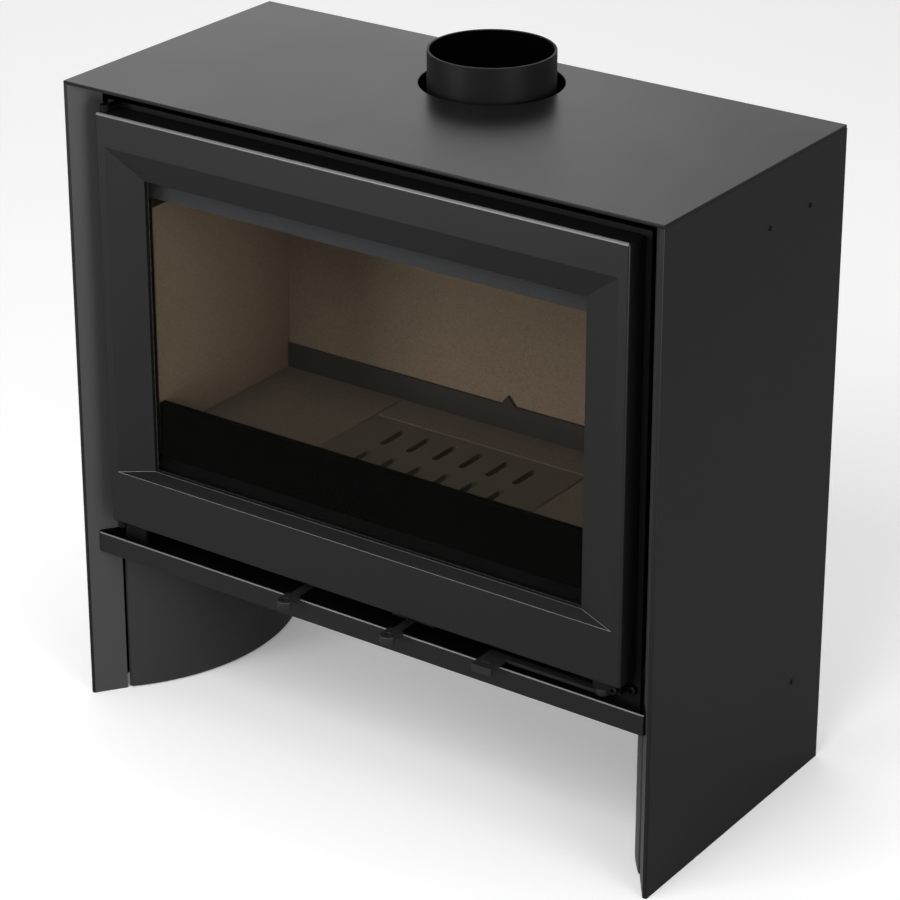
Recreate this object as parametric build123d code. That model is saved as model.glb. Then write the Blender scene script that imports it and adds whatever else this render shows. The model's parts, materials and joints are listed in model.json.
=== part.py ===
from build123d import *
import os
from math import hypot

# Free-standing wood-burning stove: a folded steel casing with two bowed leg
# panels, a welded firebox lined with vermiculite bricks, a glazed door hinged
# on the left, and two air slides worked from small tabs below the door.
# Millimetres, +Z up, front towards -Y. The origin lies on the floor under the
# middle of the overall box. The functions measure y back from the casing's
# front edges, and save() shifts every piece once.

# Sheet and plate thicknesses.
side_sheet = 5.0
top_sheet = 4.0
splay_sheet = 4.0
leg_sheet = 3.0
tray_sheet = 3.0
cover_sheet = 2.0
shell_wall = 4.0
frame_sheet = 4.0
duct_wall = 2.0
box_sheet = 3.0
pan_sheet = 1.5
lever_sheet = 4.0
door_sheet = 3.0
guard_sheet = 3.0
bracket_sheet = 4.0

# Firebox chamber, between the faces of the bricks.
chamber_width = 664.0
chamber_depth = 252.0
chamber_height = 290.0
wall_brick = 25.0
floor_brick = 30.0
baffle_brick = 25.0
back_board = 19.0
brick_clearance = 0.5
brick_chamfer = 1.5
smoke_space = 86.0

# Spaces round the firebox.
side_gap = 39.0
rear_gap = 13.0
top_gap = 41.0
rear_recess = 3.0

# Vent slots of the rear cover, in two groups of rows.
slot_end_margin = 80.0
cover_slot_columns = 6
cover_slot_pitch = 100.0
cover_slot_length = 70.0
cover_slot_row_pitch = 16.0
cover_slot_height = 6.0

# Channels, angles and feet inside the casing.
top_angle_width = 20.0
top_angle_sheet = 3.0
spacer_length = 30.0
spacer_height = 24.0
foot_width = 40.0
foot_inset = 20.0
foot_depth = 30.0

# Heights under the firebox.
leg_height = 196.5
tray_lip_height = 25.5
tray_lip_setback = 10.5
tray_lip_inset = 11.0
tray_flange = 20.0
vent_count = 5
vent_pitch = 110.0
vent_length = 80.0
vent_width = 12.0
vent_rear_distance = 70.0
lever_gap = 1.0
slide_clearance = 0.5
air_box_height = 88.5

# Front returns of the side panels, and the bowed legs.
splay_width = 24.6
splay_depth = 34.2
rear_flange = 22.0
nose_radius = 1.5
leg_inset = 29.0
leg_bow = 66.0
leg_front_gap = 38.0
leg_rear_gap = 4.0
leg_floor_gap = 1.5
stay_radius = 6.0

# Front frame of the firebox.
frame_setback = 36.0
frame_margin = 8.0
frame_upstand = 20.0
frame_ear = 32.0
latch_space = 23.0
mouth_margin = 6.0
mouth_sill = 17.5
mouth_head = 40.0

# Secondary air ducts.
duct_depth = 24.0
wash_drop = 1.0
wash_slot = 4.0

# Door.
door_setback = 3.5
door_depth = 29.5
door_edge_margin = 7.0
door_top_margin = 6.0
door_bottom_overlap = 1.0
door_corner_radius = 3.0
bevel_side = 13.0
bevel_top = 40.0
bevel_bottom = 67.5
bevel_depth = 13.5
bevel_shift = 2.4
glass_side = 60.0
glass_top = 76.0
glass_bottom = 75.5
glass_sheet = 4.0
glass_overlap = 12.0
glass_tape = 1.0
retainer_lap = 6.0
retainer_width = 17.0
glass_screw_pitch = 200.0
seal_width = 12.0
seal_offset = 4.0
seal_clearance = 0.3
channel_sheet = 2.0

# Hinge.
hinge_inset = 9.0
hinge_depth = 8.5
hinge_pin_radius = 4.0
hinge_bush_radius = 5.5
hinge_bush_length = 22.0
hinge_gap = 2.0
hinge_head_radius = 5.5
hinge_head_height = 3.0
hinge_washer = 1.7
running_clearance = 0.05

# Latch lever.
latch_tab_x = 187.0
latch_tab_width = 27.0
latch_tab_reach = 7.5
latch_tab_drop = 5.0
latch_arm_width = 10.0
latch_pivot_inset = 36.0
latch_pivot_depth = 27.0
latch_pin_radius = 4.0
latch_hub_radius = 8.5
latch_hub_height = 8.0
latch_bolt_head_radius = 5.5
latch_bolt_head_height = 3.0
latch_nose = 10.0
latch_nose_width = 5.0
latch_slot_length = 12.0
latch_slot_width = 4.0
latch_block_front = 20.0
latch_clearance = 0.3
latch_screw_offset = 20.0
keeper_width = 31.0

# Air slides.
lever_reach = 16.0
primary_x = -91.0
secondary_x = 57.5
stem_width = 9.0
tab_width = 20.0
tab_length = 26.0
tab_drop = 6.0
tab_edge_radius = 1.5
slide_width = 60.0
slide_hole_radius = 3.8
slide_edge = 12.0
window_width = 44.0
primary_setback = 20.0
primary_travel = 32.0
primary_window = 20.0
secondary_setback = 6.0
secondary_travel = 26.0
secondary_window = 12.0
guide_clearance = 0.4
guide_sheet = 3.0

# Grate, ash box and ash pan.
grate_width = 306.0
grate_depth = 156.0
grate_setback = 37.0
grate_plate = 12.0
grate_rim = 10.0
grate_seat = 8.0
slot_pitch = 38.2
slot_row_pitch = 70.0
slot_length = 48.0
slot_width = 9.0
slots_per_row = 6
slot_rows = 2
ash_box_side_margin = 5.0
ash_box_rear_margin = 12.5
ash_pan_gap = 8.0
ash_pan_height = 50.0
ash_pan_radius = 6.0
runner_height = 9.5
runner_width = 6.0

# Log guards.
front_guard_rise = 41.0
front_guard_flange = 10.0
front_guard_radius = 2.6
rear_guard_rise = 32.0
rear_guard_sheet = 4.0
guard_tab_x = 4.0
guard_tab_width = 23.0
guard_tab_height = 12.5

# Baffle and smoke deflector.
baffle_front_gap = 65.0
deflector_gap = 35.0
deflector_rear_gap = 82.0
ledge_width = 20.0

# Flue collar: a standard 150 mm spigot on a square flange.
collar_radius = 75.0
collar_wall = 3.0
collar_rise = 40.0
collar_rear_distance = 103.0
collar_flange = 83.0
collar_flange_sheet = 4.0
collar_corner_radius = 8.0
collar_gasket = 2.0
collar_screw_reach = 72.0
top_hole_radius = 85.0

# Screws: socket heads by the latch and on the collar, low round heads elsewhere.
cap_head_radius = 5.0
cap_head_height = 6.0
cap_socket_radius = 2.5
cap_shank_radius = 3.0
round_head_radius = 4.0
round_head_height = 1.6
round_shank_radius = 2.0
side_head_radius = 3.0
side_head_height = 1.2
screw_clearance = 0.2
thread_clearance = 0.05
side_screw_rear = 76.0
side_screw_pitch = 87.5
side_screw_drop = 27.0
leg_screw_rear = 69.0
leg_screw_height = 131.5
side_screw_length = 12.0
cover_screw_inset = 8.0
cover_screw_end = 30.0
cover_screw_rows = 4

# Levels, from the floor up.
tray_floor = leg_height + tray_sheet
lip_top = leg_height + tray_lip_height
lever_bottom = lip_top + lever_gap
lever_top = lever_bottom + lever_sheet
air_bottom = lever_top + slide_clearance
plate_bottom = air_bottom + air_box_height
plate_top = plate_bottom + shell_wall
chamber_floor = plate_top + floor_brick
chamber_top = chamber_floor + chamber_height
baffle_top = chamber_top + baffle_brick
shell_ceiling = baffle_top + smoke_space
shell_top = shell_ceiling + shell_wall
side_top = shell_top + top_gap
casing_height = side_top + top_sheet
collar_top = casing_height + collar_rise
wash_bottom = baffle_top - wash_drop
deflector_bottom = baffle_top + deflector_gap
flange_bottom = shell_top + collar_gasket
flange_top = flange_bottom + collar_flange_sheet

# Half widths, from the middle out.
chamber_half = chamber_width / 2
shell_inner = chamber_half + wall_brick + 2 * brick_clearance
shell_half = shell_inner + shell_wall
side_inner = shell_half + side_gap
casing_half = side_inner + side_sheet
frame_half = shell_half + frame_margin
door_half = frame_half - door_edge_margin
splay_inner = side_inner - splay_width
lip_half = side_inner - tray_lip_inset
mouth_half = chamber_half - mouth_margin
riser_inner = chamber_half + 2 * brick_clearance + 1
ear_inner = frame_half - frame_ear
grate_half = grate_width / 2

# Depths, back from the casing's front edges.
frame_back = frame_setback + frame_sheet
duct_back = frame_back + duct_depth
brick_front = duct_back + 2 * brick_clearance
chamber_back = brick_front + chamber_depth
brick_back = chamber_back + wall_brick
shell_rear_inner = brick_back + back_board + 2 * brick_clearance
shell_back = shell_rear_inner + shell_wall
cover_front = shell_back + rear_gap
cover_back = cover_front + cover_sheet
flange_front = cover_front - tray_sheet
casing_depth = cover_back + rear_recess
flue_y = casing_depth - collar_rear_distance
grate_front = brick_front + grate_setback
grate_back = grate_front + grate_depth
ash_front = duct_back + brick_clearance
ash_back = grate_back - grate_seat + ash_box_rear_margin
deflector_back = shell_rear_inner - deflector_rear_gap
primary_inlet = ash_front + primary_setback
secondary_inlet = frame_back + secondary_setback
origin_shift = -(casing_depth - lever_reach) / 2

# Door levels, widths and depths.
frame_top = shell_top + frame_upstand
frame_foot = lever_top + latch_space
mouth_bottom = plate_top - mouth_sill
mouth_top = shell_top - mouth_head
door_top = frame_top - door_top_margin
door_bottom = frame_foot - door_bottom_overlap
door_back = door_setback + door_depth
door_skin_back = door_setback + door_sheet
crease_half = door_half - bevel_side
crease_bottom = door_bottom + bevel_bottom
crease_top = door_top - bevel_top
opening_half = door_half - glass_side
opening_bottom = door_bottom + glass_bottom
opening_top = door_top - glass_top
seat_front = door_setback + bevel_depth + bevel_shift
seat_back = seat_front + door_sheet
glass_front = seat_back + glass_tape
glass_back = glass_front + glass_sheet
retainer_back = glass_back + door_sheet
seal_half = mouth_half + seal_offset
seal_bottom = mouth_bottom - seal_offset
seal_top = mouth_top + seal_offset
hinge_x = hinge_inset - door_half
hinge_y = door_setback + hinge_depth
upper_bracket = door_top + hinge_gap
lower_bracket = door_bottom - hinge_gap - bracket_sheet

# Latch places.
pivot_x = door_half - latch_pivot_inset
latch_block_bottom = lever_bottom + latch_hub_height + latch_clearance
latch_screw_x = pivot_x + latch_screw_offset
latch_screw_z = latch_block_bottom + 6.5
keeper_back = frame_back + box_sheet
keeper_screw_x = ear_inner + 23.0
keeper_screw_z = lever_bottom + 11.5
nose_front = keeper_back + latch_clearance


def block(x0, x1, y0, y1, z0, z1):
    """Box between two corners."""
    return Pos((x0 + x1) / 2, (y0 + y1) / 2, (z0 + z1) / 2) * Box(x1 - x0, y1 - y0, z1 - z0)


def rod_x(x0, x1, y, z, radius):
    """Round bar along X."""
    return Pos((x0 + x1) / 2, y, z) * Rot(0, 90, 0) * Cylinder(radius, x1 - x0)


def rod_y(x, y0, y1, z, radius):
    """Round bar along Y."""
    return Pos(x, (y0 + y1) / 2, z) * Rot(90, 0, 0) * Cylinder(radius, y1 - y0)


def rod_z(x, y, z0, z1, radius):
    """Upright round bar."""
    return Pos(x, y, (z0 + z1) / 2) * Cylinder(radius, z1 - z0)


def slot_x(x, y, length, width, z0, z1):
    """Round-ended slot lying along X, cut straight down."""
    reach = (length - width) / 2
    slot = block(x - reach, x + reach, y - width / 2, y + width / 2, z0, z1)
    return slot + rod_z(x - reach, y, z0, z1, width / 2) + rod_z(x + reach, y, z0, z1, width / 2)


def slot_y(x, y, length, width, z0, z1):
    """Round-ended slot lying along Y, cut straight down."""
    reach = (length - width) / 2
    slot = block(x - width / 2, x + width / 2, y - reach, y + reach, z0, z1)
    return slot + rod_z(x, y - reach, z0, z1, width / 2) + rod_z(x, y + reach, z0, z1, width / 2)


def window_ring(half, low, high, grow, shrink, y0, y1):
    """Rectangular ring standing in the XZ plane, grown outwards and inwards from a rectangle."""
    outer = block(-half - grow, half + grow, y0, y1, low - grow, high + grow)
    return outer - block(-half + shrink, half - shrink, y0 - 1, y1 + 1, low + shrink, high - shrink)


def mirrored(piece):
    """The same piece on the other side of the stove."""
    return mirror(piece, Plane.YZ)


def both_sides(piece):
    """A piece and its mirror image."""
    return [mirrored(piece), piece]


def save(name, pieces):
    """Write one node. Each solid in it stays a solid of its own."""
    solids = []
    for piece in pieces:
        solids += (Pos(0, origin_shift, 0) * piece).solids()
    body = solids[0] if len(solids) == 1 else Compound(children=solids)
    export_step(body, f"parts/{name}.step")


def cap_screw(x, y, z, length):
    """Socket-head screw that faces the front, with its seat at y."""
    screw = rod_y(x, y - cap_head_height, y, z, cap_head_radius)
    screw = chamfer(screw.edges().group_by(Axis.Y)[0], 0.6)
    screw += rod_y(x, y, y + length, z, cap_shank_radius)
    return screw - rod_y(x, y - cap_head_height - 1, y - cap_head_height / 2, z, cap_socket_radius)


def bracket_screw_places():
    """The two screws of the upper spacers on each side (y, z)."""
    rear = casing_depth - side_screw_rear
    level = shell_top - side_screw_drop
    return [(rear, level), (rear - side_screw_pitch, level)]


def leg_screw_place():
    """The screw of the leg's stay on each side (y, z)."""
    return casing_depth - leg_screw_rear, leg_screw_height


def cover_screw_places():
    """Screws up both edges of the rear cover (x, z)."""
    low = tray_floor + cover_screw_end
    step = (side_top - cover_screw_end - low) / (cover_screw_rows - 1)
    x = side_inner - cover_screw_inset
    return [(side * x, low + i * step) for i in range(cover_screw_rows) for side in (-1, 1)]


def side_panel():
    """Right side panel: outer sheet down to the floor, splayed front return, rear flange."""
    run = hypot(splay_width, splay_depth)
    back_x = splay_inner + splay_sheet * splay_depth / run
    back_y = splay_depth + splay_sheet * splay_width / run
    corner_y = back_y - (side_inner - back_x) * splay_depth / splay_width
    outline = [(casing_half, 0), (casing_half, casing_depth), (side_inner, casing_depth), (side_inner, corner_y),
               (back_x, back_y), (splay_inner, splay_depth), (side_inner, 0)]
    panel = extrude(make_face(Polyline(*outline, close=True)), side_top, dir=(0, 0, 1))
    panel = fillet(panel.edges().filter_by(Axis.Z).group_by(Axis.Y)[0], nose_radius)
    panel += block(side_inner - rear_flange, side_inner, flange_front, cover_front, 0, side_top)
    panel -= block(splay_inner - 5, lip_half + 2, 0.5, frame_back, leg_height - 1.5, lip_top + 1.5)
    for y, z in bracket_screw_places() + [leg_screw_place()]:
        panel -= rod_x(side_inner - 1, casing_half + 1, y, z, round_shank_radius + screw_clearance)
    for x, z in cover_screw_places():
        panel -= rod_y(x, flange_front - 1, cover_front + 1, z, round_shank_radius + screw_clearance)
    return panel


def top_plate():
    """Flat top with the clearance hole round the flue collar."""
    plate = block(-casing_half, casing_half, 0, casing_depth, side_top, casing_height)
    plate = fillet(plate.edges().filter_by(Axis.Z), nose_radius)
    return plate - rod_z(0, flue_y, side_top - 1, casing_height + 1, top_hole_radius)


def top_angle():
    """Angle strip that carries the top plate on the right side panel."""
    y0 = frame_back + 5
    y1 = flange_front - 3
    inner = side_inner - top_angle_sheet
    angle = block(inner, side_inner, y0, y1, side_top - top_angle_width, side_top)
    return angle + block(side_inner - top_angle_width, inner, y0, y1, side_top - top_angle_sheet, side_top)


def rear_cover():
    """Rear cover with two groups of vent slots."""
    half = side_inner - brick_clearance
    cover = block(-half, half, cover_front, cover_back, tray_floor, side_top - brick_clearance)
    reach = cover_slot_length / 2
    rise = cover_slot_height / 2
    for level in (tray_floor + slot_end_margin, side_top - slot_end_margin):
        for column in range(cover_slot_columns):
            x = (column - (cover_slot_columns - 1) / 2) * cover_slot_pitch
            for row in (-1, 0, 1):
                z = level + row * cover_slot_row_pitch
                cover -= block(x - reach, x + reach, cover_front - 1, cover_back + 1, z - rise, z + rise)
    for x, z in cover_screw_places():
        cover -= rod_y(x, cover_front - 1, cover_back + 1, z, round_shank_radius + screw_clearance)
    return cover


def cover_screw(x, z):
    """Low round-head screw through the rear cover and the flange."""
    head = rod_y(x, cover_back, cover_back + round_head_height, z, round_head_radius)
    return head + rod_y(x, flange_front - 3, cover_back, z, round_shank_radius)


def side_screw(y, z):
    """Low round-head screw through the right side panel."""
    head = rod_x(casing_half, casing_half + side_head_height, y, z, side_head_radius)
    return head + rod_x(casing_half - side_screw_length, casing_half, y, z, round_shank_radius)


def leg_arc():
    """Centre and radius of the right leg's face on the log store's side (x, y, radius)."""
    front = leg_front_gap
    rear = casing_depth - leg_rear_gap
    half_chord = (rear - front) / 2
    radius = (half_chord ** 2 + leg_bow ** 2) / (2 * leg_bow)
    return side_inner - leg_inset - leg_bow + radius, (front + rear) / 2, radius


def leg_shell():
    """Right leg panel, bowed in towards the log store, up to the tray."""
    x, y, radius = leg_arc()
    tube = rod_z(x, y, leg_floor_gap, leg_height, radius) - rod_z(x, y, 0, leg_height + 1, radius - leg_sheet)
    return tube & block(0, side_inner, leg_front_gap, casing_depth - leg_rear_gap, 0, leg_height + 1)


def leg_stay():
    """Round spacer between the right side panel and the bowed leg."""
    x, y, radius = leg_arc()
    screw_y, z = leg_screw_place()
    bar = rod_x(splay_inner - leg_bow, side_inner, screw_y, z, stay_radius)
    bar = bar & rod_z(x, y, 0, leg_height, radius - leg_sheet)
    return bar - rod_x(casing_half - side_screw_length, side_inner + 1, screw_y, z,
                       round_shank_radius + thread_clearance)


def base_tray():
    """Tray under the firebox: front lip, vented floor, side and rear flanges."""
    step = frame_back + 1
    tray = block(-lip_half, lip_half, tray_lip_setback, step, leg_height, tray_floor)
    tray += block(-side_inner, side_inner, step, flange_front, leg_height, tray_floor)
    lip = block(-lip_half, lip_half, tray_lip_setback, tray_lip_setback + tray_sheet, leg_height, lip_top)
    tray += fillet(lip.edges().filter_by(Axis.X).group_by(Axis.Z)[-1], tray_sheet * 0.45)
    top = tray_floor + tray_flange
    side = block(side_inner - tray_sheet, side_inner, step + 7, flange_front - 6, tray_floor, top)
    tray += side
    tray += mirrored(side)
    rear_half = splay_inner - 2
    tray += block(-rear_half, rear_half, flange_front - tray_sheet, flange_front, tray_floor, top)
    for i in range(vent_count):
        x = (i - (vent_count - 1) / 2) * vent_pitch
        tray -= slot_x(x, shell_back - vent_rear_distance, vent_length, vent_width, leg_height - 1, tray_floor + 1)
    return tray


def front_frame():
    """Frame that the door closes on, with two ears down to the tray."""
    frame = block(-frame_half, frame_half, frame_setback, frame_back, tray_floor, frame_top)
    frame -= block(-mouth_half, mouth_half, frame_setback - 1, frame_back + 1, mouth_bottom, mouth_top)
    frame -= block(-ear_inner, ear_inner, frame_setback - 1, frame_back + 1, tray_floor - 1, frame_foot)
    return frame - rod_y(keeper_screw_x, frame_setback - 1, frame_back + 1, keeper_screw_z,
                         cap_shank_radius + screw_clearance)


def collar_screw_places():
    """Screws at the corners of the collar's flange (x, y)."""
    reach = collar_screw_reach
    return [(x, flue_y + y) for x in (-reach, reach) for y in (-reach, reach)]


def collar_holes(z0, z1):
    """Cutter for the flue's bore and the screws of the collar."""
    cutter = rod_z(0, flue_y, z0, z1, collar_radius - collar_wall)
    for x, y in collar_screw_places():
        cutter += rod_z(x, y, z0, z1, cap_shank_radius + screw_clearance)
    return cutter


def firebox_shell():
    """Welded box: floor, sides, back and top, with the flue outlet and the ash opening."""
    shell = block(-shell_half, shell_half, frame_back, shell_back, plate_bottom, shell_top)
    shell -= block(-shell_inner, shell_inner, frame_back - 1, shell_rear_inner, plate_top, shell_ceiling)
    shell -= block(-shell_inner, shell_inner, frame_back - 1, duct_back, plate_bottom - 1, plate_top + 1)
    half = grate_half - grate_seat
    shell -= block(-half, half, grate_front + grate_seat, grate_back - grate_seat, plate_bottom - 1, plate_top + 1)
    return shell - collar_holes(shell_ceiling - 1, shell_top + 1)


def side_brick():
    """Right wall brick, standing on the floor plate."""
    brick = block(chamber_half, chamber_half + wall_brick, brick_front, brick_back, plate_top, chamber_top)
    return chamfer(brick.edges().filter_by(Axis.Z).group_by(Axis.Y)[0], brick_chamfer)


def back_brick():
    """Back wall brick between the two side bricks."""
    half = chamber_half - brick_clearance
    return block(-half, half, chamber_back, brick_back, plate_top, chamber_top)


def insulation_board():
    """Insulating board behind the back brick."""
    half = shell_inner - brick_clearance
    return block(-half, half, brick_back + brick_clearance, brick_back + brick_clearance + back_board,
                 plate_top, chamber_top)


def floor_slab(x0, x1, y0, y1):
    """One floor brick with worn top edges, short of its neighbours all round."""
    gap = brick_clearance
    slab = block(x0 + gap, x1 - gap, y0 + gap, y1 - gap, plate_top, chamber_floor)
    return chamfer(slab.edges().group_by(Axis.Z)[-1], brick_chamfer)


def grate():
    """Cast grate: slotted plate on a rim that stands on the floor plate."""
    half = grate_half - brick_clearance
    y0 = grate_front + brick_clearance
    y1 = grate_back - brick_clearance
    under = chamber_floor - grate_plate
    casting = block(-half, half, y0, y1, plate_top, chamber_floor)
    casting = chamfer(casting.edges().group_by(Axis.Z)[-1], brick_chamfer)
    casting -= block(grate_rim - half, half - grate_rim, y0 + grate_rim, y1 - grate_rim, plate_top - 1, under)
    for row in range(slot_rows):
        y = (y0 + y1) / 2 + (row - (slot_rows - 1) / 2) * slot_row_pitch
        for i in range(slots_per_row):
            x = (i - (slots_per_row - 1) / 2) * slot_pitch
            casting -= slot_y(x, y, slot_length, slot_width, under - 1, chamber_floor + 1)
    return casting


def front_guard():
    """Folded strip that keeps the logs off the glass."""
    half = chamber_half - 2 * brick_clearance
    y0 = brick_front - guard_sheet
    top = chamber_floor + front_guard_rise
    guard = block(-half, half, y0, brick_front, plate_top, top)
    guard += block(-half, half, y0, y0 + front_guard_flange, top - guard_sheet, top)
    nose = guard.edges().filter_by(Axis.X).group_by(Axis.Z)[-1].group_by(Axis.Y)[0]
    return fillet(nose, front_guard_radius)


def rear_guard():
    """Upright bar at the foot of the back wall, with its lifting tab."""
    half = chamber_half - 2 * brick_clearance
    y1 = chamber_back - brick_clearance
    y0 = y1 - rear_guard_sheet
    top = chamber_floor + rear_guard_rise
    reach = guard_tab_width / 2
    outline = [(guard_tab_x - reach, y0, top - 1), (guard_tab_x + reach, y0, top - 1),
               (guard_tab_x, y0, top + guard_tab_height)]
    tab = extrude(make_face(Polyline(*outline, close=True)), rear_guard_sheet, dir=(0, 1, 0))
    return block(-half, half, y0, y1, chamber_floor, top) + tab


def baffle():
    """Baffle brick resting on the side and back bricks."""
    half = shell_inner - 2 * brick_clearance
    return block(-half, half, brick_front + baffle_front_gap, shell_rear_inner - brick_clearance,
                 chamber_top, baffle_top)


def smoke_deflector():
    """Steel plate that turns the smoke back before the flue."""
    half = shell_inner - 6
    return block(-half, half, brick_front, deflector_back, deflector_bottom, deflector_bottom + guard_sheet)


def deflector_ledge():
    """Angle on the right wall of the shell that carries the deflector."""
    y0 = brick_front + 20
    z = deflector_bottom
    ledge = block(shell_inner - ledge_width, shell_inner, y0, deflector_back, z - guard_sheet, z)
    return ledge + block(shell_inner - guard_sheet, shell_inner, y0, deflector_back,
                         z - ledge_width, z - guard_sheet)


def collar_plate(z0, z1):
    """Square plate round the flue outlet."""
    plate = block(-collar_flange, collar_flange, flue_y - collar_flange, flue_y + collar_flange, z0, z1)
    return fillet(plate.edges().filter_by(Axis.Z), collar_corner_radius)


def flue_collar():
    """Spigot for the flue pipe, on its flange."""
    collar = collar_plate(flange_bottom, flange_top) + rod_z(0, flue_y, flange_bottom, collar_top, collar_radius)
    collar -= collar_holes(flange_bottom - 1, collar_top + 1)
    return fillet(collar.edges().filter_by(GeomType.CIRCLE).group_by(Axis.Z)[-1], 0.8)


def collar_screw(x, y):
    """Socket-head screw through the flange into the firebox top."""
    screw = rod_z(x, y, flange_top, flange_top + cap_head_height, cap_head_radius)
    screw += rod_z(x, y, shell_ceiling - 4, flange_top, cap_shank_radius)
    head_top = flange_top + cap_head_height
    return screw - rod_z(x, y, head_top - cap_head_height / 2, head_top + 1, cap_socket_radius)


def duct_box(half, z0, z1, grow):
    """Box across the stove behind the front frame, grown or shrunk by one wall."""
    return block(-half - grow, half + grow, frame_back - grow, duct_back + grow, z0 - grow, z1 + grow)


def riser_bore(z0, z1):
    """Right riser's air way between two levels."""
    return block(riser_inner + duct_wall, shell_inner - duct_wall, frame_back + duct_wall,
                 duct_back - duct_wall, z0, z1)


def lower_duct():
    """Cross duct below the mouth that feeds the two risers."""
    narrow = ear_inner - 2
    duct = duct_box(narrow, air_bottom, plate_top, 0) + duct_box(shell_inner, frame_foot, plate_top, 0)
    duct -= duct_box(narrow, air_bottom, plate_top, -duct_wall)
    duct -= duct_box(shell_inner, frame_foot, plate_top, -duct_wall)
    for bore in both_sides(riser_bore(plate_top - duct_wall - 1, plate_top + 1)):
        duct -= bore
    reach = window_width / 2
    return duct - block(secondary_x - reach, secondary_x + reach, secondary_inlet,
                        secondary_inlet + secondary_window, air_bottom - 1, air_bottom + duct_wall + 1)


def air_riser():
    """Right riser from the cross duct to the air-wash channel."""
    tube = block(riser_inner, shell_inner, frame_back, duct_back, plate_top, wash_bottom)
    return tube - riser_bore(plate_top - 1, wash_bottom + 1)


def air_wash_channel():
    """Channel across the top of the mouth, slotted to wash the glass with air."""
    top = mouth_top + 2
    channel = duct_box(shell_inner, wash_bottom, top, 0) - duct_box(shell_inner, wash_bottom, top, -duct_wall)
    for bore in both_sides(riser_bore(wash_bottom - 1, wash_bottom + duct_wall + 1)):
        channel -= bore
    slot_half = mouth_half - 12
    y0 = frame_back + duct_wall + 2
    return channel - block(-slot_half, slot_half, y0, y0 + wash_slot, wash_bottom - 1, wash_bottom + duct_wall + 1)


def ash_box():
    """Open box under the grate that holds the ash pan and takes in the primary air."""
    half = grate_half - grate_seat + ash_box_side_margin
    box = block(-half, half, ash_front, ash_back, air_bottom, plate_bottom)
    box -= block(box_sheet - half, half - box_sheet, ash_front + box_sheet, ash_back - box_sheet,
                 air_bottom + box_sheet, plate_bottom + 1)
    reach = window_width / 2
    return box - block(primary_x - reach, primary_x + reach, primary_inlet, primary_inlet + primary_window,
                       air_bottom - 1, air_bottom + box_sheet + 1)


def ash_pan():
    """Ash pan, small enough to lift out through the grate's opening."""
    half = grate_half - grate_seat - ash_pan_gap
    y0 = grate_front + grate_seat + ash_pan_gap
    y1 = grate_back - grate_seat - ash_pan_gap
    z0 = air_bottom + box_sheet + runner_height
    pan = block(-half, half, y0, y1, z0, z0 + ash_pan_height)
    pan = fillet(pan.edges().filter_by(Axis.Z), ash_pan_radius)
    void = block(pan_sheet - half, half - pan_sheet, y0 + pan_sheet, y1 - pan_sheet,
                 z0 + pan_sheet, z0 + ash_pan_height + 1)
    return pan - fillet(void.edges().filter_by(Axis.Z), ash_pan_radius - pan_sheet)


def ash_pan_runner():
    """Right strip that holds the ash pan above the air inlet."""
    x = grate_half - grate_seat - ash_pan_gap - runner_width - ash_pan_radius
    z0 = air_bottom + box_sheet
    return block(x, x + runner_width, ash_front + box_sheet, ash_back - box_sheet, z0, z0 + runner_height)


def air_slide(x, inlet, window, travel):
    """Slide plate with its window behind the inlet at rest, and the stem with its pull tab."""
    plate_front = inlet - slide_edge / 3
    opening = inlet + travel
    plate = block(x - slide_width / 2, x + slide_width / 2, plate_front, opening + window + slide_edge,
                  lever_bottom, lever_top)
    reach = window_width / 2
    plate -= block(x - reach, x + reach, opening, opening + window, lever_bottom - 1, lever_top + 1)
    half = tab_width / 2
    hole_y = half - lever_reach
    tab_bottom = lever_bottom - tab_drop
    tab = rod_z(x, hole_y, tab_bottom, lever_top, half)
    tab -= rod_z(x, hole_y, tab_bottom - 1, lever_bottom, half - lever_sheet)
    tab -= block(x - half, x + half, hole_y, hole_y + half + 1, tab_bottom - 1, lever_top + 1)
    tab += block(x - half, x + half, hole_y, tab_length - lever_reach, lever_bottom, lever_top)
    stem = block(x - stem_width / 2, x + stem_width / 2, hole_y, plate_front, lever_bottom, lever_top)
    slide = plate + tab + stem
    rims = slide.edges().filter_by(GeomType.CIRCLE).group_by(Axis.Z)
    slide = fillet(rims[-1] + rims[0].sort_by(Axis.Y)[:1], tab_edge_radius)
    return slide - rod_z(x, hole_y, lever_bottom - 1, lever_top + 1, slide_hole_radius)


def slide_guides(x, inlet, window):
    """Two folded guides that hang a slide under its inlet."""
    y0 = inlet - slide_edge / 3
    y1 = inlet + window + slide_edge
    edge = slide_width / 2 + guide_clearance
    lip_z = lever_bottom - guide_clearance
    guide = block(edge, edge + guide_sheet, y0, y1, lip_z - guide_sheet, air_bottom)
    guide += block(edge - 4, edge, y0, y1, lip_z - guide_sheet, lip_z)
    return [Pos(x, 0, 0) * side for side in both_sides(guide)]


def rear_foot():
    """Folded channel that stands the right rear of the firebox on the tray."""
    x1 = shell_half - foot_inset
    x0 = x1 - foot_width
    y0 = shell_back - foot_depth
    foot = block(x0, x1, y0, shell_back, tray_floor, plate_bottom)
    return foot - block(x0 + box_sheet, x1 - box_sheet, y0 - 1, shell_back - box_sheet,
                        tray_floor - 1, plate_bottom + 1)


def side_bracket(y, z):
    """Spacer channel between the firebox and the right side panel."""
    reach = spacer_length / 2
    rise = spacer_height / 2
    bracket = block(shell_half, side_inner, y - reach, y + reach, z - rise, z + rise)
    bracket -= block(shell_half + box_sheet, side_inner - box_sheet, y - reach - 1, y + reach + 1,
                     z - rise + box_sheet, z + rise + 1)
    return bracket - rod_x(side_inner - box_sheet - 1, side_inner + 1, y, z, round_shank_radius + thread_clearance)


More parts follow.
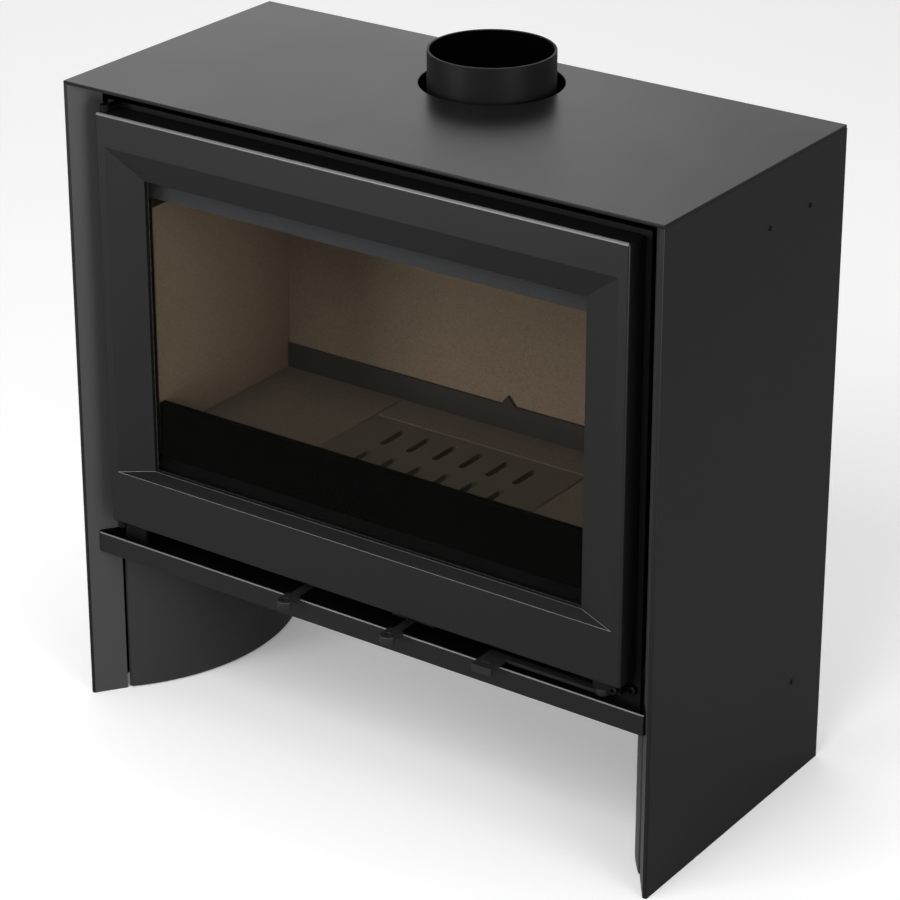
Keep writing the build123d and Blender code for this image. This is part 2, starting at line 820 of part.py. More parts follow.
def hinge_bracket(z0):
    """Arm from the front frame to a hinge pin, with a rounded end."""
    z1 = z0 + bracket_sheet
    arm = block(hinge_x - hinge_head_radius, hinge_x + hinge_head_radius, hinge_y, frame_setback, z0, z1)
    arm += rod_z(hinge_x, hinge_y, z0, z1, hinge_head_radius)
    return arm - rod_z(hinge_x, hinge_y, z0 - 1, z1 + 1, hinge_pin_radius + thread_clearance)


def hinge_pin(seat, outward, tip):
    """Headed pin: its head sits on the bracket's outer face, its tip runs in the door's bush."""
    head_end = seat + outward * hinge_head_height
    pin = rod_z(hinge_x, hinge_y, min(seat, tip), max(seat, tip), hinge_pin_radius)
    return pin + rod_z(hinge_x, hinge_y, min(seat, head_end), max(seat, head_end), hinge_head_radius)


def thrust_washer():
    """Washer that carries the door on the lower bracket."""
    z0 = lower_bracket + bracket_sheet
    ring = rod_z(hinge_x, hinge_y, z0, z0 + hinge_washer, hinge_head_radius + 1)
    return ring - rod_z(hinge_x, hinge_y, z0 - 1, z0 + hinge_washer + 1, hinge_pin_radius + running_clearance)


def hinge_bush(z0):
    """Bush inside the door that turns on a hinge pin."""
    bush = rod_z(hinge_x, hinge_y, z0, z0 + hinge_bush_length, hinge_bush_radius)
    return bush - rod_z(hinge_x, hinge_y, z0 - 1, z0 + hinge_bush_length + 1, hinge_pin_radius + running_clearance)


def bevel_solid(start, grow, shift):
    """Tapered block from the bevel's crease to the glass opening, grown and shifted back."""
    faces = []
    for depth in (start, bevel_depth):
        left = (bevel_depth - depth) / bevel_depth
        half = opening_half + (crease_half - opening_half) * left + grow
        low = opening_bottom + (crease_bottom - opening_bottom) * left - grow
        high = opening_top + (crease_top - opening_top) * left + grow
        y = door_setback + depth + shift
        faces.append(make_face(Polyline((-half, y, low), (half, y, low), (half, y, high), (-half, y, high),
                                        close=True)))
    return loft(faces)


def door_frame():
    """Folded door pan with the bevelled surround of the glass."""
    pan = block(-door_half, door_half, door_setback, door_back, door_bottom, door_top)
    pan = fillet(pan.edges().group_by(Axis.Y)[0] + pan.edges().filter_by(Axis.Y), door_corner_radius)
    pan -= block(door_sheet - door_half, door_half - door_sheet, door_skin_back, door_back + 1,
                 door_bottom + door_sheet, door_top - door_sheet)
    pan += bevel_solid(0, bevel_shift, bevel_shift)
    pan -= bevel_solid(-1, 0, 0)
    pan -= block(-opening_half, opening_half, door_skin_back, seat_front + 1, opening_bottom, opening_top)
    for z in (door_bottom - 1, door_top - door_sheet - 1):
        pan -= rod_z(hinge_x, hinge_y, z, z + door_sheet + 2, hinge_pin_radius + 2 * running_clearance)
    return pan


def door_glass():
    """Ceramic glass pane."""
    half = opening_half + glass_overlap
    return block(-half, half, glass_front, glass_back, opening_bottom - glass_overlap, opening_top + glass_overlap)


def glass_screw_places():
    """Screws of the retainers, outside the edge of the glass (x, z)."""
    out = glass_overlap + (retainer_width - retainer_lap) / 2
    middle = (opening_bottom + opening_top) / 2
    places = [(side * (opening_half + out), middle + step * glass_screw_pitch / 2)
              for side in (-1, 1) for step in (-1, 1)]
    for z in (opening_bottom - out, opening_top + out):
        places += [(step * glass_screw_pitch, z) for step in (-1, 0, 1)]
    return places


def inner_frame():
    """Plate behind the bevel that seats the glass, with the channel of the rope seal."""
    half = door_half - door_sheet
    frame = block(-half, half, seat_front, seat_back, door_bottom + door_sheet, door_top - door_sheet)
    frame -= block(-opening_half, opening_half, seat_front - 1, seat_back + 1, opening_bottom, opening_top)
    rim = door_back - 1
    frame += window_ring(seal_half, seal_bottom, seal_top, seal_width + channel_sheet, -seal_width, seat_back, rim)
    frame += window_ring(seal_half, seal_bottom, seal_top, 0, channel_sheet, seat_back, rim)
    for x, z in glass_screw_places():
        frame += rod_y(x, seat_back, glass_back, z, round_head_radius + 0.5)
        frame -= rod_y(x, seat_front + 1, glass_back + 1, z, round_shank_radius + thread_clearance)
    return frame


def glass_retainers():
    """Four strips that hold the glass from behind."""
    lap = glass_overlap - retainer_lap
    outer = lap + retainer_width
    half = opening_half + outer
    low = opening_bottom - outer
    high = opening_top + outer
    y1 = retainer_back
    upright = block(opening_half + lap, half, glass_back, y1, low + retainer_width + 1, high - retainer_width - 1)
    strips = [block(-half, half, glass_back, y1, low, low + retainer_width),
              block(-half, half, glass_back, y1, high - retainer_width, high)] + both_sides(upright)
    cutter = Compound(children=[rod_y(x, glass_back - 1, y1 + 1, z, round_shank_radius + screw_clearance)
                                for x, z in glass_screw_places()])
    return [strip - cutter for strip in strips]


def glass_screw(x, z):
    """Low round-head screw of a glass retainer."""
    head = rod_y(x, retainer_back, retainer_back + round_head_height, z, round_head_radius)
    return head + rod_y(x, seat_front + 1.5, retainer_back, z, round_shank_radius)


def latch_block():
    """Block under the door that carries the lever's pivot and the adjusting screw."""
    part = block(pivot_x - 9, latch_screw_x + 7, latch_block_front, door_back, latch_block_bottom, door_bottom)
    part -= rod_z(pivot_x, latch_pivot_depth, latch_block_bottom - 1, door_bottom - 2,
                  latch_pin_radius + thread_clearance)
    return part - rod_y(latch_screw_x, latch_block_front - 1, latch_block_front + 11, latch_screw_z,
                        cap_shank_radius + thread_clearance)


def latch_bolt():
    """Shoulder bolt that the lever turns on, its head let into the lever's hub."""
    z0 = lever_bottom + 0.2
    head_top = z0 + latch_bolt_head_height
    bolt = rod_z(pivot_x, latch_pivot_depth, z0, head_top, latch_bolt_head_radius)
    bolt += rod_z(pivot_x, latch_pivot_depth, head_top, door_bottom - 2.5, latch_pin_radius)
    return bolt - rod_z(pivot_x, latch_pivot_depth, z0 - 1, z0 + 2, cap_socket_radius)


def latch_lever():
    """Pull tab, arm, pivot hub, and the nose that hooks behind the keeper."""
    half = latch_tab_width / 2
    arm_front = latch_pivot_depth - latch_arm_width / 2
    arm_back = latch_pivot_depth + latch_arm_width / 2
    lever = block(latch_tab_x - half, latch_tab_x + half, -latch_tab_reach, arm_back, lever_bottom, lever_top)
    lever += block(latch_tab_x - half, latch_tab_x + half, -latch_tab_reach, lever_sheet - latch_tab_reach,
                   lever_bottom - latch_tab_drop, lever_top)
    lever = fillet(lever.edges().filter_by(Axis.Z).group_by(Axis.Y)[0], 1.5)
    lever += block(latch_tab_x, pivot_x, arm_front, arm_back, lever_bottom, lever_top)
    lever += rod_z(pivot_x, latch_pivot_depth, lever_bottom, lever_bottom + latch_hub_height, latch_hub_radius)
    neck_x = ear_inner - 1.5
    nose_back = nose_front + latch_nose_width
    lever += block(pivot_x - 4, neck_x, latch_pivot_depth, nose_back, lever_bottom, lever_top)
    lever += block(pivot_x, neck_x + latch_nose, nose_front, nose_back, lever_bottom, lever_top)
    recess = lever_bottom + 0.2 + latch_bolt_head_height + 0.2
    lever -= rod_z(pivot_x, latch_pivot_depth, lever_bottom - 1, recess, latch_bolt_head_radius + latch_clearance)
    lever -= rod_z(pivot_x, latch_pivot_depth, lever_bottom, latch_block_bottom,
                   latch_pin_radius + running_clearance)
    slot_place = lever_sheet - latch_tab_reach + 3.5 + latch_slot_width / 2
    return lever - slot_x(latch_tab_x, slot_place, latch_slot_length, latch_slot_width,
                          lever_bottom - 1, lever_top + 1)


def latch_keeper():
    """Wear plate behind the right ear that the lever's nose hooks behind."""
    keeper = block(ear_inner, ear_inner + keeper_width, frame_back, keeper_back,
                   lever_bottom - 8, keeper_screw_z + 8)
    return keeper - rod_y(keeper_screw_x, frame_back - 1, keeper_back + 1, keeper_screw_z,
                          cap_shank_radius + thread_clearance)


primary = (primary_x, primary_inlet, primary_window)
secondary = (secondary_x, secondary_inlet, secondary_window)
side_screw_places = bracket_screw_places() + [leg_screw_place()]
lower_bush = door_bottom + door_sheet
upper_bush = door_top - door_sheet - hinge_bush_length

nodes = {
    "left_side_panel": [mirrored(side_panel())],
    "right_side_panel": [side_panel()],
    "top_plate": [top_plate()],
    "top_plate_angles": both_sides(top_angle()),
    "rear_cover": [rear_cover()],
    "rear_cover_screws": [cover_screw(x, z) for x, z in cover_screw_places()],
    "side_panel_screws": [s for y, z in side_screw_places for s in both_sides(side_screw(y, z))],
    "left_leg_panel": [mirrored(leg_shell())],
    "right_leg_panel": [leg_shell()],
    "leg_stays": both_sides(leg_stay()),
    "base_tray": [base_tray()],
    "front_frame": [front_frame()],
    "firebox_shell": [firebox_shell()],
    "firebox_rear_feet": both_sides(rear_foot()),
    "side_spacer_brackets": [b for y, z in bracket_screw_places() for b in both_sides(side_bracket(y, z))],
    "left_wall_brick": [mirrored(side_brick())],
    "right_wall_brick": [side_brick()],
    "back_wall_brick": [back_brick()],
    "back_insulation_board": [insulation_board()],
    "left_floor_brick": [floor_slab(-chamber_half, -grate_half, brick_front, chamber_back)],
    "right_floor_brick": [floor_slab(grate_half, chamber_half, brick_front, chamber_back)],
    "front_floor_brick": [floor_slab(-grate_half, grate_half, brick_front, grate_front)],
    "rear_floor_brick": [floor_slab(-grate_half, grate_half, grate_back, chamber_back)],
    "grate": [grate()],
    "front_log_guard": [front_guard()],
    "rear_log_guard": [rear_guard()],
    "baffle_brick": [baffle()],
    "smoke_deflector": [smoke_deflector()],
    "smoke_deflector_ledges": both_sides(deflector_ledge()),
    "flue_gasket": [collar_plate(shell_top, flange_bottom) - collar_holes(shell_top - 1, flange_bottom + 1)],
    "flue_collar": [flue_collar()],
    "flue_collar_screws": [collar_screw(x, y) for x, y in collar_screw_places()],
    "lower_air_duct": [lower_duct()],
    "air_risers": both_sides(air_riser()),
    "air_wash_channel": [air_wash_channel()],
    "ash_box": [ash_box()],
    "ash_pan_runners": both_sides(ash_pan_runner()),
    "ash_pan": [ash_pan()],
    "primary_air_slide": [air_slide(*primary, primary_travel)],
    "secondary_air_slide": [air_slide(*secondary, secondary_travel)],
    "air_slide_guides": slide_guides(*primary) + slide_guides(*secondary),
    "hinge_brackets": [hinge_bracket(upper_bracket), hinge_bracket(lower_bracket)],
    "hinge_pins": [hinge_pin(upper_bracket + bracket_sheet, 1, upper_bush + 1),
                   hinge_pin(lower_bracket, -1, lower_bush + hinge_bush_length - 1)],
    "hinge_thrust_washer": [thrust_washer()],
    "hinge_bushes": [hinge_bush(lower_bush), hinge_bush(upper_bush)],
    "door_frame": [door_frame()],
    "door_inner_frame": [inner_frame()],
    "door_glass": [door_glass()],
    "glass_tape": [window_ring(opening_half, opening_bottom, opening_top, glass_overlap, 0,
                               seat_back, glass_front)],
    "glass_retainers": glass_retainers(),
    "glass_retainer_screws": [glass_screw(x, z) for x, z in glass_screw_places()],
    "door_rope_seal": [window_ring(seal_half, seal_bottom, seal_top, seal_width, 0, seat_back,
                                   frame_setback - seal_clearance)],
    "latch_block": [latch_block()],
    "latch_pivot_bolt": [latch_bolt()],
    "latch_adjusting_screw": [cap_screw(latch_screw_x, latch_block_front, latch_screw_z, 10)],
    "latch_lever": [latch_lever()],
    "latch_keeper": [latch_keeper()],
    "latch_keeper_screw": [cap_screw(keeper_screw_x, frame_setback, keeper_screw_z, 10)],
}
for name, pieces in nodes.items():
    save(name, pieces)
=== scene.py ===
"""Free-standing log burner: its finishes, its softened sheet edges and the rope seal round its door."""
import json
import math

import bmesh
import bpy
from mathutils import Matrix, Vector


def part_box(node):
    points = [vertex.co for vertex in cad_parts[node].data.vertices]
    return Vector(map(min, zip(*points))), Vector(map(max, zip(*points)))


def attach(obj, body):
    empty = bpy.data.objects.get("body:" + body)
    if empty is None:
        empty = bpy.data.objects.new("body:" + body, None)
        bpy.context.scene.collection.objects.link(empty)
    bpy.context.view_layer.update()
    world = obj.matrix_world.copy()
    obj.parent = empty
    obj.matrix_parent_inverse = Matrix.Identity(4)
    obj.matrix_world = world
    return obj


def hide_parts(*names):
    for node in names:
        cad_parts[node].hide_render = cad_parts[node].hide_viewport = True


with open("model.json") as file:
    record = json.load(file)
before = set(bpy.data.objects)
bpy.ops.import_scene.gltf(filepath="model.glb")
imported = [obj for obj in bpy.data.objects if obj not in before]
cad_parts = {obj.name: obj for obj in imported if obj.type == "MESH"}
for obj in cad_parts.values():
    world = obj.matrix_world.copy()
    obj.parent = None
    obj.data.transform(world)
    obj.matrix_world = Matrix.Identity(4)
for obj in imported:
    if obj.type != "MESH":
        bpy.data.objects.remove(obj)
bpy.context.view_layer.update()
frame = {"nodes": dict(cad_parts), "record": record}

MM = 0.001

# Refractive indices.
PAINT_INDEX = 1.45
MINERAL_INDEX = 1.5

# A paint's and a steel's roughness vary by this much either way.
SHEEN_SPREAD = 0.012
TURNING_SPREAD = 0.06

# Half the width of the widest facet that belongs to a rounded edge or a pin.
NARROW_FACE = 1.2 * MM
# Vertices closer than this are one, and faces that meet flatter than this are one.
MERGE_DISTANCE = 0.004 * MM
FLAT_ANGLE = math.radians(0.5)
EDGE_SEGMENTS = 3

# Least area of a front return, and least distance of the collar's wall from its axis.
RETURN_AREA = (20 * MM) ** 2
COLLAR_WALL_RADIUS = 60 * MM

# Where the photograph was taken from, solved from the casing's straight edges.
CAMERA_PLACE = Vector((1.9804, -2.7926, 1.9605))
CAMERA_TURN = (math.radians(35.514), math.radians(22.374), math.radians(-0.097))
CAMERA_LENS = 128.17
CAMERA_SENSOR = 36.0
CAMERA_SHIFT = (0.01746, -0.1576)
CAMERA_REACH = 100.0

FLOOR_RADIUS = 30.0
FLOOR_SIDES = 64
# Light that the floor gives off to the camera alone.
FLOOR_LIFT = 0.12

# The surroundings: their light on matt faces, and what is seen at the horizon and overhead.
AMBIENT_LIGHT = 0.52
HORIZON_LIGHT = 0.9
CEILING_LIGHT = 0.12
# Height of a direction, as the Z of its unit vector, where the ceiling starts and where it is full.
CEILING_START = 0.45
CEILING_FULL = 0.75

# Name, place, point that it faces, width in metres and power in watts.
SOFTBOXES = (
    ("front softbox", (0.4, -3.3, 3.7), (0, 0, 0.5), 2.4, 95),
    ("mouth softbox", (-1.7, -3.2, 1.0), (0.2, 0.1, 0.5), 1.2, 45),
    ("right softbox", (3.4, -1.3, 0.7), (-0.4, -0.1, 0.4), 1.8, 60),
    ("rear softbox", (-3.2, 3.4, 2.0), (0, 0.1, 0.8), 2.6, 10),
    ("top softbox", (-0.4, 0.2, 4.0), (0, 0, 0.8), 2.6, 14),
)


def paint_colour(hex_code):
    """An sRGB hex value as the linear colour that the shader works in."""
    channels = [int(hex_code[i:i + 2], 16) / 255 for i in (1, 3, 5)]
    return [c / 12.92 if c <= 0.04045 else ((c + 0.055) / 1.055) ** 2.4 for c in channels] + [1.0]


def add(material, kind, sockets=None, **settings):
    """Add one node to a material: settings are its properties, sockets its values or links."""
    tree = material.node_tree
    made = tree.nodes.new("ShaderNode" + kind)
    for name, value in settings.items():
        setattr(made, name, value)
    for name, value in (sockets or {}).items():
        if isinstance(value, bpy.types.NodeSocket):
            tree.links.new(value, made.inputs[name])
        else:
            made.inputs[name].default_value = value
    return made


def new_finish(name):
    """An empty material and the Object coordinates that its patterns read."""
    material = bpy.data.materials.new(name)
    material.use_nodes = True
    material.node_tree.nodes.clear()
    place = add(material, "TexCoord").outputs["Object"]
    return material, place


def close_finish(material, sockets):
    """Give a material its surface shader."""
    shader = add(material, "BsdfPrincipled", sockets)
    add(material, "OutputMaterial", {"Surface": shader.outputs[0]})
    return material


def noise(material, place, size, detail):
    """Soft random values whose patches are about the given size in metres across."""
    return add(material, "TexNoise", {"Vector": place, "Scale": 1 / size, "Detail": detail}).outputs["Fac"]


def bump(material, height, strength, depth):
    """Relief for a surface, with its full depth in metres."""
    return add(material, "Bump", {"Height": height, "Strength": strength, "Distance": depth}).outputs[0]


def ramp(material, value, stops):
    """A colour ramp through sRGB stops."""
    made = add(material, "ValToRGB", {"Fac": value})
    points = made.color_ramp.elements
    while len(points) < len(stops):
        points.new(0.5)
    for point, (position, hex_code) in zip(points, stops):
        point.position = position
        point.color = paint_colour(hex_code)
    return made.outputs["Color"]


def stove_paint(name, shade, roughness, gloss, grain_depth=0.12):
    """High-temperature silicone paint sprayed on sheet steel: satin black with a fine dry-spray grain."""
    material, place = new_finish(name)
    # Spray grain, about 0.7 mm: coarser than the real 0.2 mm, so that it still shows.
    grain = noise(material, place, 0.7 * MM, 3.0)
    # Passes of the gun leave broad, faint changes of sheen, about 120 mm across.
    passes = noise(material, place, 120 * MM, 2.0)
    sheen = add(material, "MapRange", {"Value": passes, "From Min": 0.3, "From Max": 0.7,
                                       "To Min": roughness - SHEEN_SPREAD,
                                       "To Max": roughness + SHEEN_SPREAD}).outputs[0]
    return close_finish(material, {"Base Color": paint_colour(shade), "Roughness": sheen,
                                   "IOR": PAINT_INDEX, "Specular IOR Level": gloss,
                                   "Normal": bump(material, grain, grain_depth, 0.05 * MM)})


def vermiculite(name, dark, middle, light):
    """Pressed vermiculite board: tan, matt, with gold flakes and the clouds of the pressing."""
    material, place = new_finish(name)
    # Flakes are 1 to 2 mm across.
    flakes = add(material, "TexVoronoi", {"Vector": place, "Scale": 1 / (1.3 * MM)}).outputs["Color"]
    flake_value = add(material, "SeparateColor", {"Color": flakes}).outputs[0]
    cloud = noise(material, place, 35 * MM, 6.0)
    blend = add(material, "Mix", {"Factor": 0.75, "A": cloud, "B": flake_value},
                data_type="FLOAT").outputs[0]
    colour = ramp(material, blend, [(0.1, dark), (0.5, middle), (0.9, light)])
    return close_finish(material, {"Base Color": colour, "Roughness": 0.95, "IOR": MINERAL_INDEX,
                                   "Specular IOR Level": 0.25,
                                   "Normal": bump(material, flake_value, 0.2, 0.15 * MM)})


def insulation_board():
    """Calcium silicate board: off-white, chalky."""
    material, place = new_finish("calcium silicate board")
    cloud = noise(material, place, 8 * MM, 5.0)
    colour = ramp(material, cloud, [(0.3, "#b9b3a4"), (0.7, "#cfcabd")])
    return close_finish(material, {"Base Color": colour, "Roughness": 0.95, "IOR": MINERAL_INDEX})


def cast_iron():
    """Sand-cast grey iron, dusted brown by the first fires, with the pimpled skin of the mould."""
    material, place = new_finish("sand-cast iron")
    skin = noise(material, place, 1.6 * MM, 4.0)
    colour = ramp(material, skin, [(0.3, "#544a3f"), (0.7, "#62574a")])
    return close_finish(material, {"Base Color": colour, "Roughness": 0.7, "IOR": MINERAL_INDEX,
                                   "Normal": bump(material, skin, 0.4, 0.2 * MM)})


def ceramic_glass():
    """Clear glass-ceramic with a faint smoky tint, and a surface that is almost a mirror."""
    material, place = new_finish("glass-ceramic")
    haze = noise(material, place, 60 * MM, 3.0)
    rough = add(material, "MapRange", {"Value": haze, "To Min": 0.02, "To Max": 0.06}).outputs[0]
    material.surface_render_method = "BLENDED"
    return close_finish(material, {"Base Color": paint_colour("#0c0b09"), "Roughness": rough,
                                   "IOR": MINERAL_INDEX, "Alpha": 0.16, "Specular IOR Level": 0.2})


def turned_steel(name, shade, roughness):
    """Steel with fine marks of its making and a thin film of oil."""
    material, place = new_finish(name)
    marks = noise(material, place, 0.9 * MM, 2.0)
    rough = add(material, "MapRange", {"Value": marks, "To Min": roughness - TURNING_SPREAD,
                                       "To Max": roughness + TURNING_SPREAD}).outputs[0]
    return close_finish(material, {"Base Color": paint_colour(shade), "Metallic": 1.0, "Roughness": rough})


def rope_fibre():
    """Knitted glass-fibre rope, dyed dark grey: matt, with a coarse diagonal knit."""
    material, place = new_finish("knitted glass fibre")
    yarn = add(material, "TexWave", {"Vector": place, "Scale": 1 / (18 * MM), "Distortion": 6.0,
                                     "Detail": 3.0}, bands_direction="DIAGONAL").outputs["Fac"]
    colour = ramp(material, yarn, [(0.2, "#2b2a28"), (0.8, "#4b4944")])
    return close_finish(material, {"Base Color": colour, "Roughness": 0.9, "IOR": MINERAL_INDEX,
                                   "Normal": bump(material, yarn, 0.6, 0.5 * MM)})


def give_finish(names, material):
    """Paint the named CAD nodes."""
    for name in names.split():
        slots = frame["nodes"][name].data.materials
        slots.clear()
        slots.append(material)


def body_of(name):
    """The body that a CAD node belongs to."""
    for body, names in frame["record"]["behaviour"]["bodies"].items():
        if name in names:
            return body
    raise ValueError(name)


def place_piece(name, mesh, node, material):
    """Put a new piece where its CAD node is, on the same body, with the given paint, and hide the node."""
    piece = bpy.data.objects.new(name, mesh)
    bpy.context.scene.collection.objects.link(piece)
    mesh.materials.append(material)
    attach(piece, body_of(node))
    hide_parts(node)
    return piece


def perimeter(mesh, face):
    """The length round a face."""
    points = [mesh.vertices[i].co for i in face.vertices]
    return sum((a - b).length for a, b in zip(points, points[1:] + points[:1]))


def softened(node, radius, material, sharpest=35, painted_highlight=None):
    """A CAD node with rounded edges, in place of the sharp one.

    The radius is in millimetres. Edges that turn by more than the angle sharpest, in degrees, are rounded.
    If a second paint is given as painted_highlight, rounded edges that face forward and up have it as a
    painted highlight.
    """
    shape = bmesh.new()
    shape.from_mesh(frame["nodes"][node].data)
    bmesh.ops.remove_doubles(shape, verts=shape.verts, dist=MERGE_DISTANCE)
    bmesh.ops.dissolve_limit(shape, angle_limit=FLAT_ANGLE, verts=shape.verts, edges=shape.edges)
    sharp = [e for e in shape.edges if e.is_manifold and e.calc_face_angle() > math.radians(sharpest)]
    rounded = bmesh.ops.bevel(shape, geom=sharp, offset=radius * MM, offset_type="OFFSET", affect="EDGES",
                              segments=EDGE_SEGMENTS, profile=0.5, clamp_overlap=True, material=-1)
    rolled = set(rounded["faces"])
    for face in shape.faces:
        face.smooth = face in rolled or face.calc_area() < NARROW_FACE * face.calc_perimeter()
    mesh = bpy.data.meshes.new(node + "_edges")
    shape.to_mesh(mesh)
    shape.free()
    piece = place_piece(node + "_softened", mesh, node, material)
    if painted_highlight:
        mesh.materials.append(painted_highlight)
        for face in mesh.polygons:
            narrow = face.area < NARROW_FACE * perimeter(mesh, face)
            lengthwise = abs(face.normal.x) < 0.3
            # Narrow rounded faces that look up and forward get the painted highlight.
            if narrow and lengthwise and face.normal.z > 0.1 and face.normal.y < 0:
                face.material_index = 1
    return piece


def paint_return_sheen(panel, paint):
    """Paint the splayed front return of a side panel a lighter grey: a painted sheen where light falls on it.
    """
    panel.data.materials.append(paint)
    for face in panel.data.polygons:
        splayed = abs(face.normal.x) > 0.5 and face.normal.y < -0.4
        if splayed and face.area > RETURN_AREA:
            face.material_index = 1


def shade_collar_bore(collar, paint):
    """Blacken the bore of the flue collar with painted shade: its upright faces that look at its axis."""
    low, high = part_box("flue_collar")
    middle_y = (low[1] + high[1]) / 2
    collar.data.materials.append(paint)
    for face in collar.data.polygons:
        x = face.center.x
        y = face.center.y - middle_y
        upright = abs(face.normal.z) < 0.3
        inward = face.normal.x * x + face.normal.y * y < 0
        if upright and inward and math.hypot(x, y) > COLLAR_WALL_RADIUS:
            face.material_index = 1


def set_camera():
    """A camera where the photographer's was."""
    turn, tilt, roll = CAMERA_TURN
    camera = bpy.data.objects.new("camera", bpy.data.cameras.new("camera"))
    camera.data.lens = CAMERA_LENS
    camera.data.sensor_width = CAMERA_SENSOR
    camera.data.shift_x, camera.data.shift_y = CAMERA_SHIFT
    camera.data.clip_end = CAMERA_REACH
    looking = Matrix.Rotation(turn, 4, "Z") @ Matrix.Rotation(math.pi / 2 - tilt, 4, "X")
    looking = looking @ Matrix.Rotation(roll, 4, "Z")
    camera.matrix_world = Matrix.Translation(CAMERA_PLACE) @ looking
    bpy.context.scene.collection.objects.link(camera)
    bpy.context.scene.camera = camera


def lay_floor():
    """A pale matt floor."""
    shape = bmesh.new()
    bmesh.ops.create_circle(shape, cap_ends=True, segments=FLOOR_SIDES, radius=FLOOR_RADIUS)
    mesh = bpy.data.meshes.new("floor")
    shape.to_mesh(mesh)
    shape.free()
    floor = bpy.data.objects.new("floor", mesh)
    bpy.context.scene.collection.objects.link(floor)
    material, place = new_finish("studio floor")
    wear = add(material, "TexNoise", {"Vector": place, "Scale": 2.0}).outputs["Fac"]
    rough = add(material, "MapRange", {"Value": wear, "To Min": 0.85, "To Max": 0.95}).outputs[0]
    # The floor is white to the eye, and throws less light up under the stove than a white one would.
    rays = add(material, "LightPath").outputs
    shade = add(material, "Mix", {"Factor": rays["Is Camera Ray"], "A": paint_colour("#929292"),
                                  "B": paint_colour("#ffffff")}, data_type="RGBA").outputs["Result"]
    lift = add(material, "Math", {0: rays["Is Camera Ray"], 1: FLOOR_LIFT},
               operation="MULTIPLY").outputs[0]
    close_finish(material, {"Base Color": shade, "Roughness": rough, "Specular IOR Level": 0.2,
                            "Emission Color": paint_colour("#ffffff"), "Emission Strength": lift})
    mesh.materials.append(material)


def set_surroundings():
    """White surroundings under a dark ceiling."""
    world = bpy.context.scene.world or bpy.data.worlds.new("studio")
    bpy.context.scene.world = world
    world.use_nodes = True
    world.node_tree.nodes.clear()
    rays = add(world, "LightPath").outputs
    seen = add(world, "Math", {0: rays["Is Camera Ray"], 1: rays["Is Glossy Ray"]},
               operation="MAXIMUM").outputs[0]
    seen = add(world, "Math", {0: seen, 1: rays["Is Transmission Ray"]}, operation="MAXIMUM").outputs[0]
    # The ceiling is dark, so that what faces up and forward reflects black.
    way = add(world, "TexCoord").outputs["Generated"]
    height = add(world, "SeparateXYZ", {0: way}).outputs["Z"]
    wall = add(world, "MapRange", {"Value": height, "From Min": CEILING_START, "From Max": CEILING_FULL,
                                   "To Min": HORIZON_LIGHT, "To Max": CEILING_LIGHT}).outputs[0]
    level = add(world, "MapRange", {"Value": seen, "To Min": AMBIENT_LIGHT, "To Max": wall}).outputs[0]
    sky = add(world, "Background", {"Color": paint_colour("#ffffff"), "Strength": level})
    add(world, "OutputWorld", {"Surface": sky.outputs[0]})


def hang_lamp(name, place, target, width, power):
    """A square softbox that faces a point."""
    data = bpy.data.lights.new(name, "AREA")
    data.shape = "SQUARE"
    data.size = width
    data.energy = power
    lamp = bpy.data.objects.new(name, data)
    lamp.visible_camera = False
    away = Vector(place) - Vector(target)
    lamp.matrix_world = Matrix.Translation(place) @ away.to_track_quat("Z", "Y").to_matrix().to_4x4()
    bpy.context.scene.collection.objects.link(lamp)


# Each paint has a shade, a roughness and a gloss, and some a depth of grain of their own.
top_paint = stove_paint("satin stove paint, top", "#141415", 0.31, 0.28)
casing_paint = stove_paint("satin stove paint, casing", "#0e0e0f", 0.42, 0.45)
# The front returns are the casing paint made lighter: a painted sheen.
return_sheen_paint = stove_paint("satin stove paint, front returns with painted sheen", "#454546", 0.30, 0.5)
# The legs are the casing paint made lighter: painted light.
leg_lit_paint = stove_paint("satin stove paint, legs, painted light", "#313132", 0.20, 0.7)
tray_paint = stove_paint("satin stove paint, tray", "#101011", 0.40, 0.5)
door_paint = stove_paint("satin stove paint, door", "#111112", 0.38, 0.5)
# Light grey for rounded edges that face the lamps: a painted highlight.
edge_highlight_paint = stove_paint("satin stove paint, rubbed edges", "#707071", 0.30, 0.5)
inner_paint = stove_paint("matt stove paint, inside", "#0c0c0c", 0.60, 0.2, 0.04)
# The air channel is the inside paint made mid-grey, standing in for the light on it: painted light.
wash_lit_paint = stove_paint("matt stove paint, air channel, painted light", "#4a4b4d", 0.60, 0.2, 0.03)
bar_paint = stove_paint("burnt stove paint, rear bar", "#3e3b36", 0.60, 0.3, 0.04)
# Pure black with no gloss, for the log guard's face and the parts under the door: painted shade.
shade_black_paint = stove_paint("black stove paint with painted shade, log guard", "#010101", 0.90, 0.0, 0.04)
tab_paint = stove_paint("satin stove paint, tabs", "#222223", 0.40, 0.4)
pin_paint = stove_paint("matt stove paint, hinge", "#0a0a0a", 0.50, 0.15)
collar_paint = stove_paint("matt stove paint, collar", "#090909", 0.50, 0.3)
# Near-black and dull for the bore of the flue collar: painted shade.
painted_bore_shade = stove_paint("soot in the flue", "#020202", 0.95, 0.02, 0.3)
wall_brick = vermiculite("pressed vermiculite, walls", "#8b7963", "#94826c", "#9d8b75")
floor_brick = vermiculite("pressed vermiculite, floor", "#625749", "#6a5f52", "#73685a")
rope = rope_fibre()
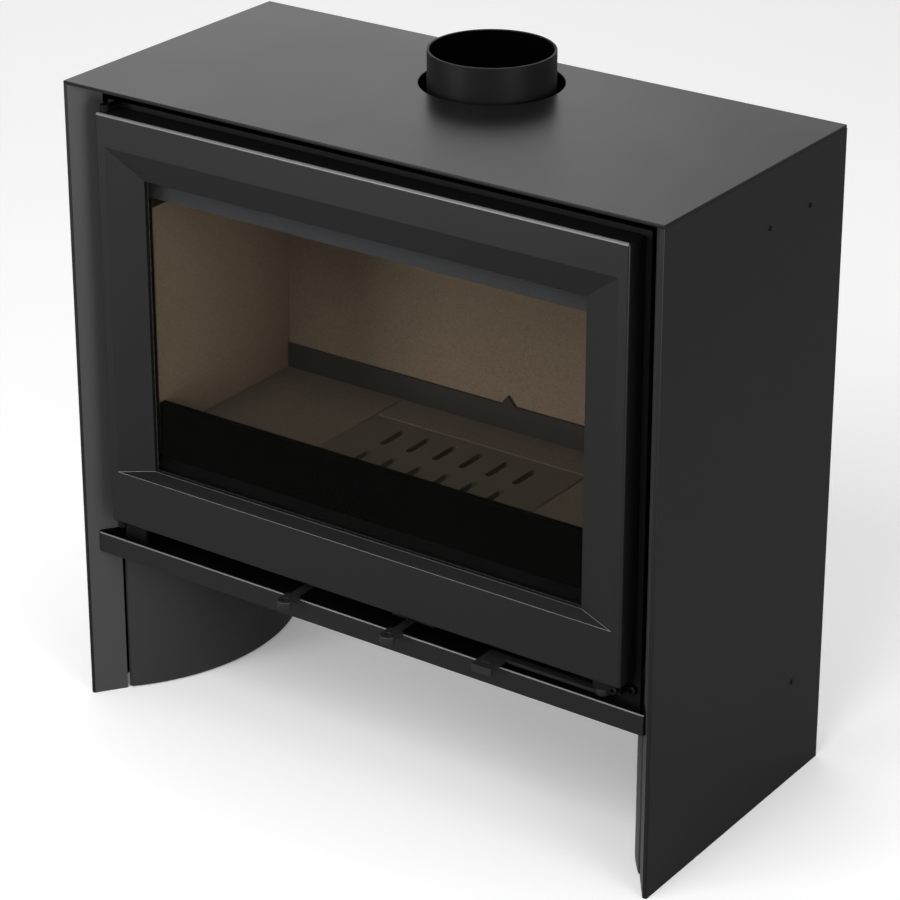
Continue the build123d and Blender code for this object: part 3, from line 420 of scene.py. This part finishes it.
screw_steel = turned_steel("blackened screw steel", "#2c2c2d", 0.42)

give_finish("rear_cover top_plate_angles side_spacer_brackets firebox_rear_feet leg_stays", casing_paint)
give_finish("left_leg_panel right_leg_panel", leg_lit_paint)
give_finish("door_inner_frame glass_retainers", door_paint)
give_finish("front_frame firebox_shell smoke_deflector smoke_deflector_ledges lower_air_duct air_risers "
            "ash_box ash_pan_runners latch_block", inner_paint)
give_finish("rear_log_guard", bar_paint)
give_finish("air_wash_channel", wash_lit_paint)
# The slide guides and the latch keeper take the painted shade as well.
give_finish("air_slide_guides latch_keeper", shade_black_paint)
give_finish("left_wall_brick right_wall_brick back_wall_brick baffle_brick", wall_brick)
give_finish("left_floor_brick right_floor_brick front_floor_brick rear_floor_brick", floor_brick)
give_finish("back_insulation_board", insulation_board())
give_finish("grate", cast_iron())
give_finish("door_glass", ceramic_glass())
give_finish("glass_tape flue_gasket", rope)
give_finish("hinge_bushes", turned_steel("sintered bush metal", "#4a453c", 0.40))
give_finish("rear_cover_screws side_panel_screws flue_collar_screws latch_adjusting_screw latch_keeper_screw "
            "glass_retainer_screws", screw_steel)
give_finish("hinge_pins hinge_brackets hinge_thrust_washer", pin_paint)
give_finish("latch_pivot_bolt", turned_steel("phosphated pin steel", "#2e2e2e", 0.40))
give_finish("ash_pan", turned_steel("galvanised sheet", "#8a8c8d", 0.45))

softened("top_plate", 0.8, top_paint)
for node in ("left_side_panel", "right_side_panel"):
    paint_return_sheen(softened(node, 0.8, casing_paint), return_sheen_paint)
softened("base_tray", 0.8, tray_paint, painted_highlight=edge_highlight_paint)
# The door's bevelled surround is shallow, so that its creases count as edges from 15 degrees.
softened("door_frame", 1.5, door_paint, sharpest=15, painted_highlight=edge_highlight_paint)
softened("front_log_guard", 0.8, shade_black_paint)
for node in ("primary_air_slide", "secondary_air_slide", "latch_lever"):
    softened(node, 0.5, tab_paint)
softened("door_rope_seal", 4.0, rope)
shade_collar_bore(softened("flue_collar", 0.5, collar_paint), painted_bore_shade)

set_camera()
lay_floor()
set_surroundings()
for softbox in SOFTBOXES:
    hang_lamp(*softbox)
bpy.context.scene.view_settings.view_transform = "Standard"
